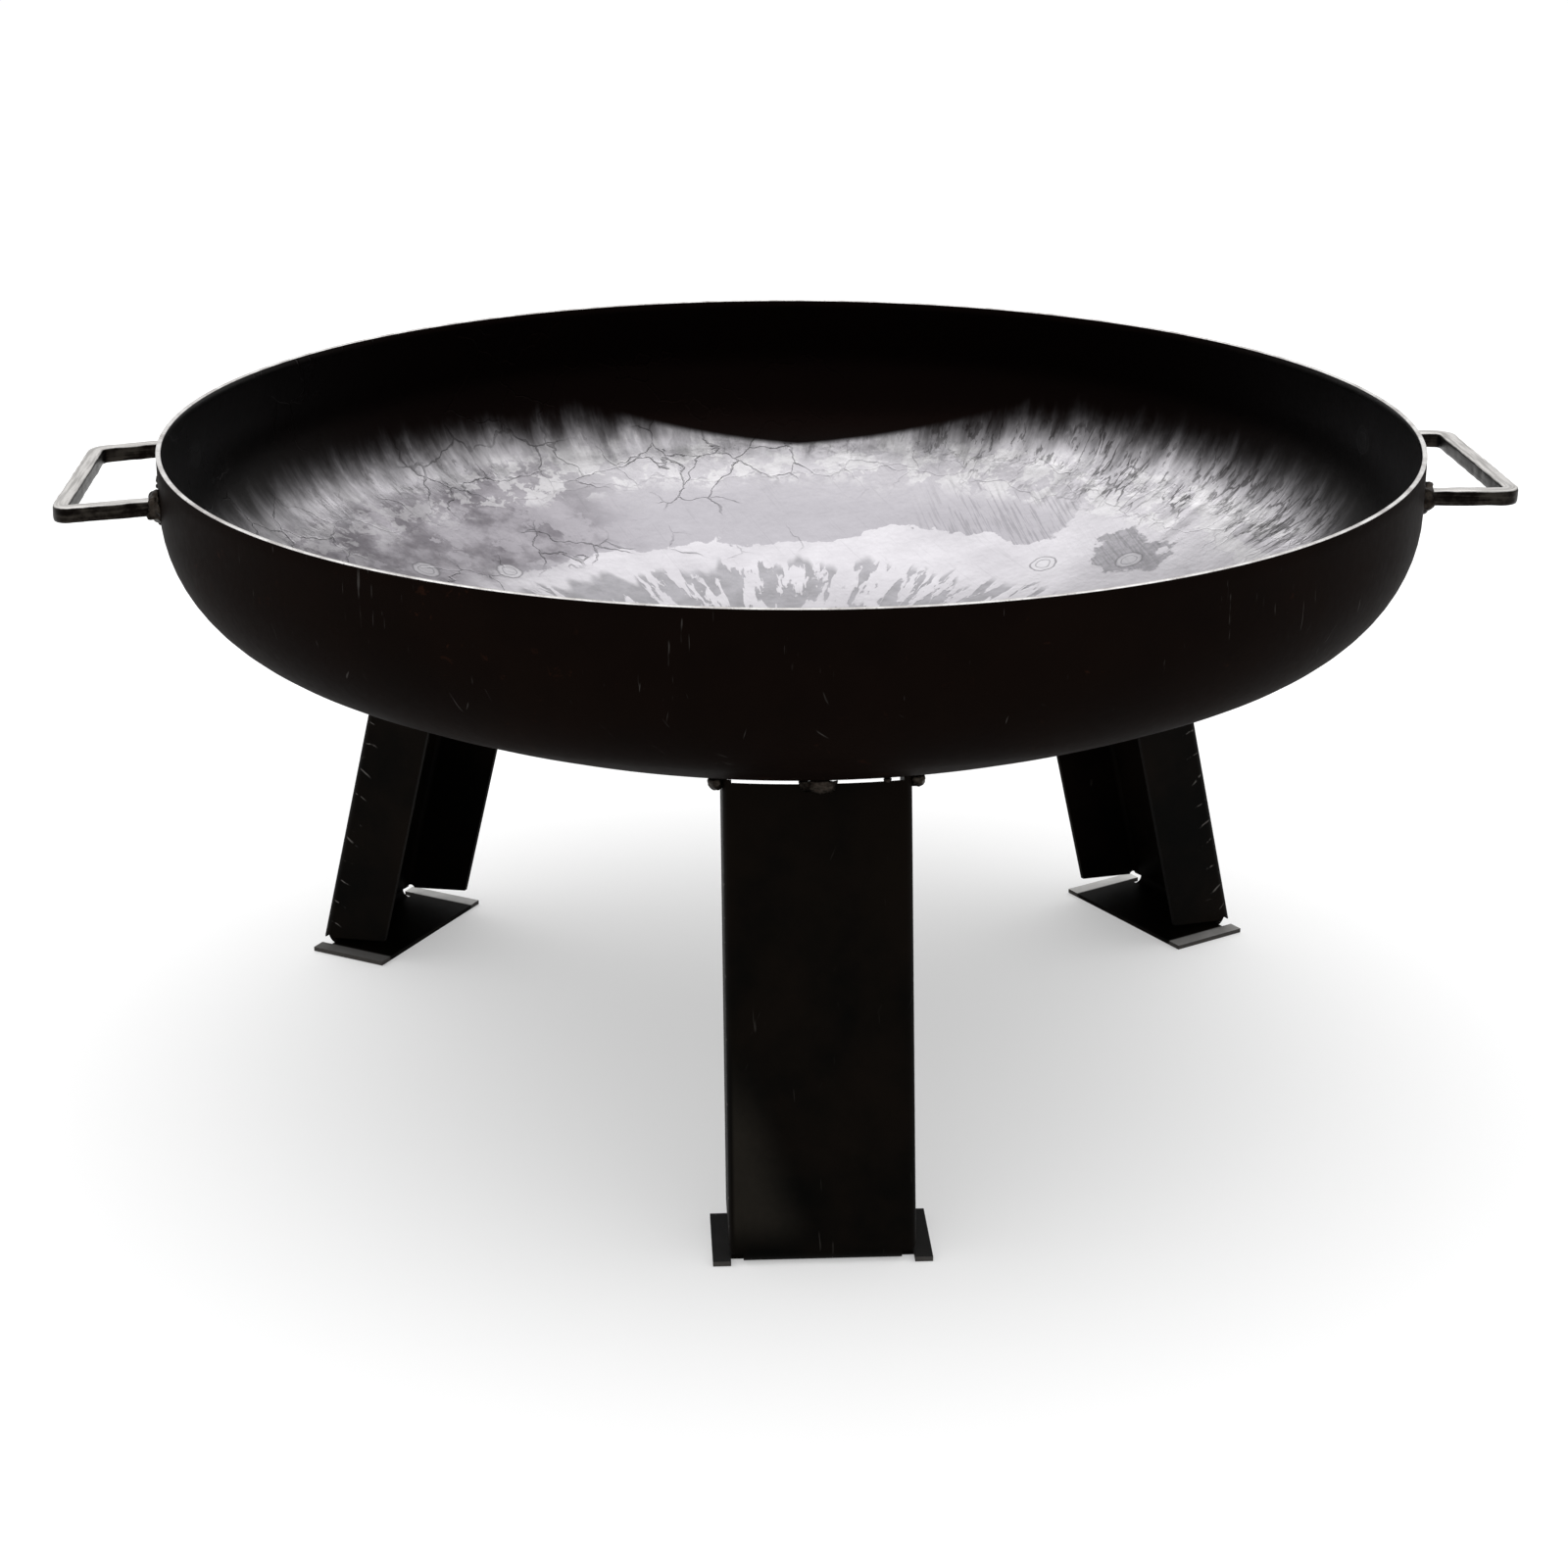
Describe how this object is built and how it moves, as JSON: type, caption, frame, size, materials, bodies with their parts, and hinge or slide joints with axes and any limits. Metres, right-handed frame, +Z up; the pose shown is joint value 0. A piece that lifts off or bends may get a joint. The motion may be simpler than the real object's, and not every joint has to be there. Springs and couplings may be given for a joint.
{
  "type": "forge fire bowl",
  "caption": "Open coal forge hearth: a dished steel fire bowl on splayed folded sheet legs with inturned feet, with square-bar carrying handles welded to its sides.",
  "frame": {"origin": "on the floor, under the middle of the bowl", "axes": "+Z up; the handles lie along X; the front leg stands on -Y"},
  "size_m": [0.92, 0.8, 0.412],
  "materials": {
    "bowl_steel": "satin mill scale",
    "leg_steel": "satin mill scale",
    "bare_bar": "bare rolled bar",
    "weld_metal": "as welded"
  },
  "bodies": {
    "root": {"fire_bowl": "bowl_steel", "leg_front": "leg_steel", "leg_front_weld_centre": "weld_metal", "leg_front_weld_right": "weld_metal", "leg_front_weld_left": "weld_metal", "leg_right": "leg_steel", "leg_right_weld_centre": "weld_metal", "leg_right_weld_right": "weld_metal", "leg_right_weld_left": "weld_metal", "leg_left": "leg_steel", "leg_left_weld_centre": "weld_metal", "leg_left_weld_right": "weld_metal", "leg_left_weld_left": "weld_metal", "leg_front_tack": "weld_metal", "handle_right": "bare_bar", "handle_right_weld_front": "weld_metal", "handle_right_weld_back": "weld_metal", "handle_left": "bare_bar", "handle_left_weld_front": "weld_metal", "handle_left_weld_back": "weld_metal"}
  },
  "joints": []
}
